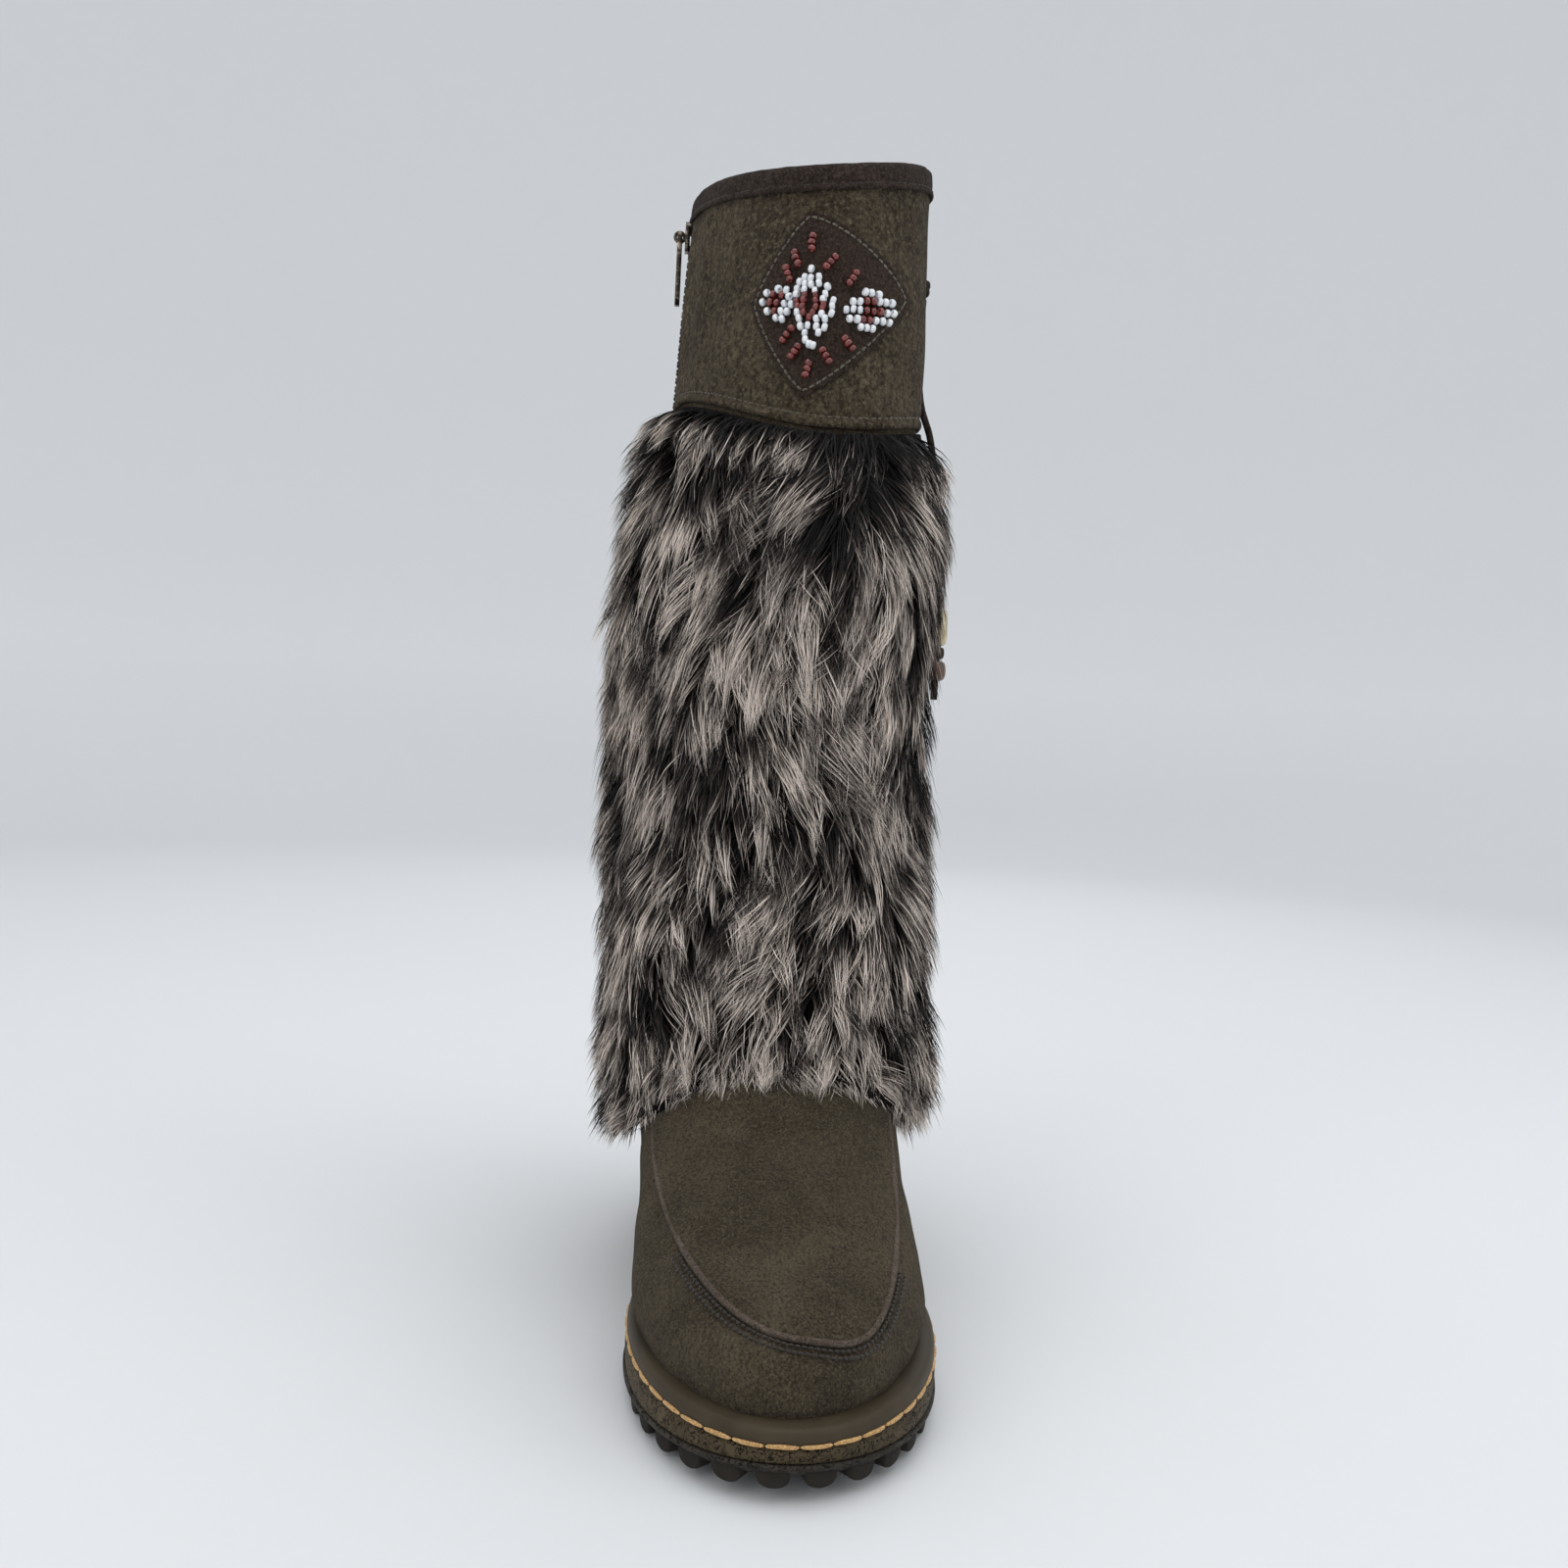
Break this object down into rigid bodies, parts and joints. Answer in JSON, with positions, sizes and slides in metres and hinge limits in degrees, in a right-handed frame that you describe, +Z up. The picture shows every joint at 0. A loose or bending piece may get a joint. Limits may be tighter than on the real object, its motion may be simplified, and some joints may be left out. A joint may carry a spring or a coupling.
{
  "type": "snow boot",
  "caption": "Tall left snow boot: suede foot with welted rubber sole, faux-fur shaft, suede cuff with a beaded diamond patch and an inner-side zip.",
  "frame": {"origin": "centre of the heel's flat spot on the floor, under the ankle", "axes": "+Z up, -Y towards the toe, +Y towards the heel, +X towards the outer side of this left boot"},
  "size_m": [0.1412, 0.2931, 0.4416],
  "materials": {
    "suede": "matt nubuck suede, dark olive-brown",
    "cuff_suede": "grainy oiled suede, olive-brown",
    "binding": "soft matt binding, plum-brown",
    "fur": "long mottled faux fur, dark roots and pale tips",
    "welt": "smooth satin strip, brown",
    "midsole": "pebbled matt rubber, brown",
    "outsole": "pebbled matt rubber, near black",
    "patch": "matt suede, very dark brown",
    "white_bead": "glossy pearl white seed beads, some dark red",
    "red_bead": "glossy dark red seed beads",
    "cream_bead": "satin cream bone-like bead",
    "brown_bead": "polished brown wooden bead",
    "zip_tape": "dark brown woven tape",
    "zip_metal": "dark bronze-toned metal",
    "lining": "short brown pile"
  },
  "bodies": {
    "boot": {"outsole": "outsole", "midsole": "midsole", "welt": "welt", "insole": "lining", "upper": "suede", "cuff": "cuff_suede", "collar_binding": "binding", "fur_sleeve": "fur", "plug_ridge": "suede", "patch": "patch", "beads_middle": "white_bead", "beads_inner": "white_bead", "beads_outer": "white_bead", "beads_ray_1": "red_bead", "beads_ray_2": "red_bead", "beads_ray_3": "red_bead", "beads_ray_4": "red_bead", "beads_ray_5": "red_bead", "beads_ray_6": "red_bead", "beads_ray_7": "red_bead", "beads_ray_8": "red_bead", "beads_ray_9": "red_bead", "beads_ray_10": "red_bead", "zip_tape": "zip_tape", "zip_slider": "zip_metal", "tie_knot": "binding", "tie_cord": "binding", "tie_bead_cream": "cream_bead", "tie_knot_low": "binding", "tie_bead_brown": "brown_bead"},
    "pull": {"zip_pull": "zip_metal"}
  },
  "joints": [
    {"name": "zip_pull_hinge", "type": "hinge", "parent": "boot", "child": "pull", "pos_m": [-0.04779, -0.01155, 0.41717], "axis": [-0.0277, 0.9996, 0], "range_deg": [0, 150]}
  ]
}
